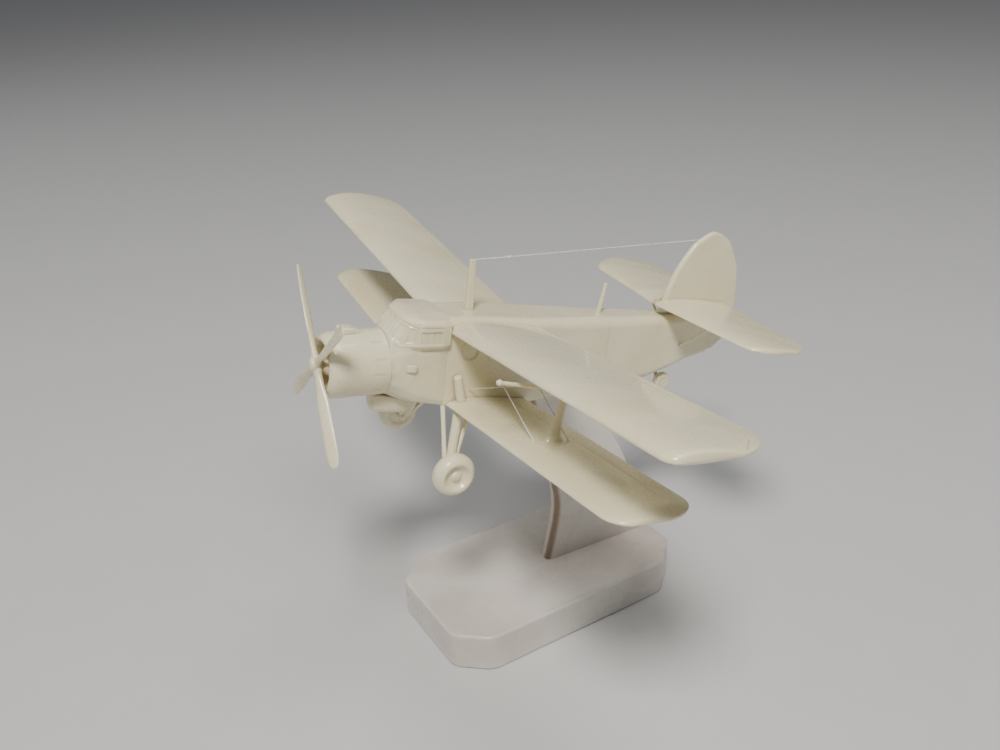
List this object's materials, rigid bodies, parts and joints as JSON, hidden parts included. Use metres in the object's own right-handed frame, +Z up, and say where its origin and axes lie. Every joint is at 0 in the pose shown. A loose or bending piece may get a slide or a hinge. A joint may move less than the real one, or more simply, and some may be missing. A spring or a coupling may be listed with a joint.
{
  "type": "display model biplane",
  "caption": "Carved cream-white display model of a utility biplane, nose slightly raised, held by a curved blade pylon on a chamfered plinth.",
  "frame": {"origin": "middle of the plinth's underside", "axes": "+Z up, the aircraft's nose toward -Y, its port side toward +X"},
  "size_m": [0.2412, 0.1715, 0.1462],
  "materials": {
    "engine": "glossy, yellowed in the recess",
    "fittings": "glossy",
    "flying_surfaces": "glossy",
    "fuselage": "glossy",
    "plinth": "polished, softly mottled",
    "propeller": "glossy",
    "pylon": "polished, with a brown streak along its front",
    "thread": "matte cotton",
    "wheels": "glossy"
  },
  "bodies": {
    "airframe": {"aerial_thread": "thread", "axle_port": "fittings", "axle_starboard": "fittings", "blister_port": "fittings", "blister_starboard": "fittings", "canopy": "fuselage", "carburettor_intake": "fittings", "cowl": "fuselage", "crankcase": "engine", "engine_face": "engine", "fin_and_rudder": "flying_surfaces", "flying_wire_port": "thread", "flying_wire_starboard": "thread", "fuselage_cabin": "fuselage", "fuselage_nose": "fuselage", "fuselage_tail": "fuselage", "gear_front_strut_port": "fittings", "gear_front_strut_starboard": "fittings", "gear_leg_port": "fittings", "gear_leg_starboard": "fittings", "gear_peg_port": "fittings", "gear_peg_starboard": "fittings", "gear_rear_strut_port": "fittings", "gear_rear_strut_starboard": "fittings", "landing_wire_port": "thread", "landing_wire_starboard": "thread", "lower_wing_port": "flying_surfaces", "lower_wing_starboard": "flying_surfaces", "main_mast": "fittings", "oil_cooler": "fittings", "pitot_rod": "fittings", "plinth": "plinth", "pylon": "pylon", "rear_mast": "fittings", "rear_wire_port": "thread", "rear_wire_starboard": "thread", "tail_wheel_leg": "fittings", "tail_wheel_pin": "fittings", "tail_wheel_yoke": "fittings", "tailplane_port": "flying_surfaces", "tailplane_starboard": "flying_surfaces", "tailplane_strut_port": "fittings", "tailplane_strut_starboard": "fittings", "upper_wing_port": "flying_surfaces", "upper_wing_starboard": "flying_surfaces", "wing_strut_port": "fittings", "wing_strut_starboard": "fittings"},
    "propeller": {"propeller_blade_1": "propeller", "propeller_blade_2": "propeller", "propeller_blade_3": "propeller", "propeller_blade_4": "propeller", "propeller_hub": "propeller"},
    "main_wheel_port": {"main_wheel_port": "wheels"},
    "main_wheel_starboard": {"main_wheel_starboard": "wheels"},
    "tail_wheel": {"tail_wheel": "wheels"}
  },
  "joints": [
    {"name": "propeller_spin", "type": "hinge", "parent": "airframe", "child": "propeller", "pos_m": [0, -0.0775, 0.12035], "axis": [0, 0.9863, -0.165], "continuous": true},
    {"name": "main_wheel_port_spin", "type": "hinge", "parent": "airframe", "child": "main_wheel_port", "pos_m": [0.0239, -0.04396, 0.08209], "axis": [1, 0, 0], "continuous": true},
    {"name": "main_wheel_starboard_spin", "type": "hinge", "parent": "airframe", "child": "main_wheel_starboard", "pos_m": [-0.0239, -0.04382, 0.08288], "axis": [1, 0, 0], "continuous": true},
    {"name": "tail_wheel_spin", "type": "hinge", "parent": "airframe", "child": "tail_wheel", "pos_m": [0, 0.05519, 0.07837], "axis": [1, 0, 0], "continuous": true}
  ]
}
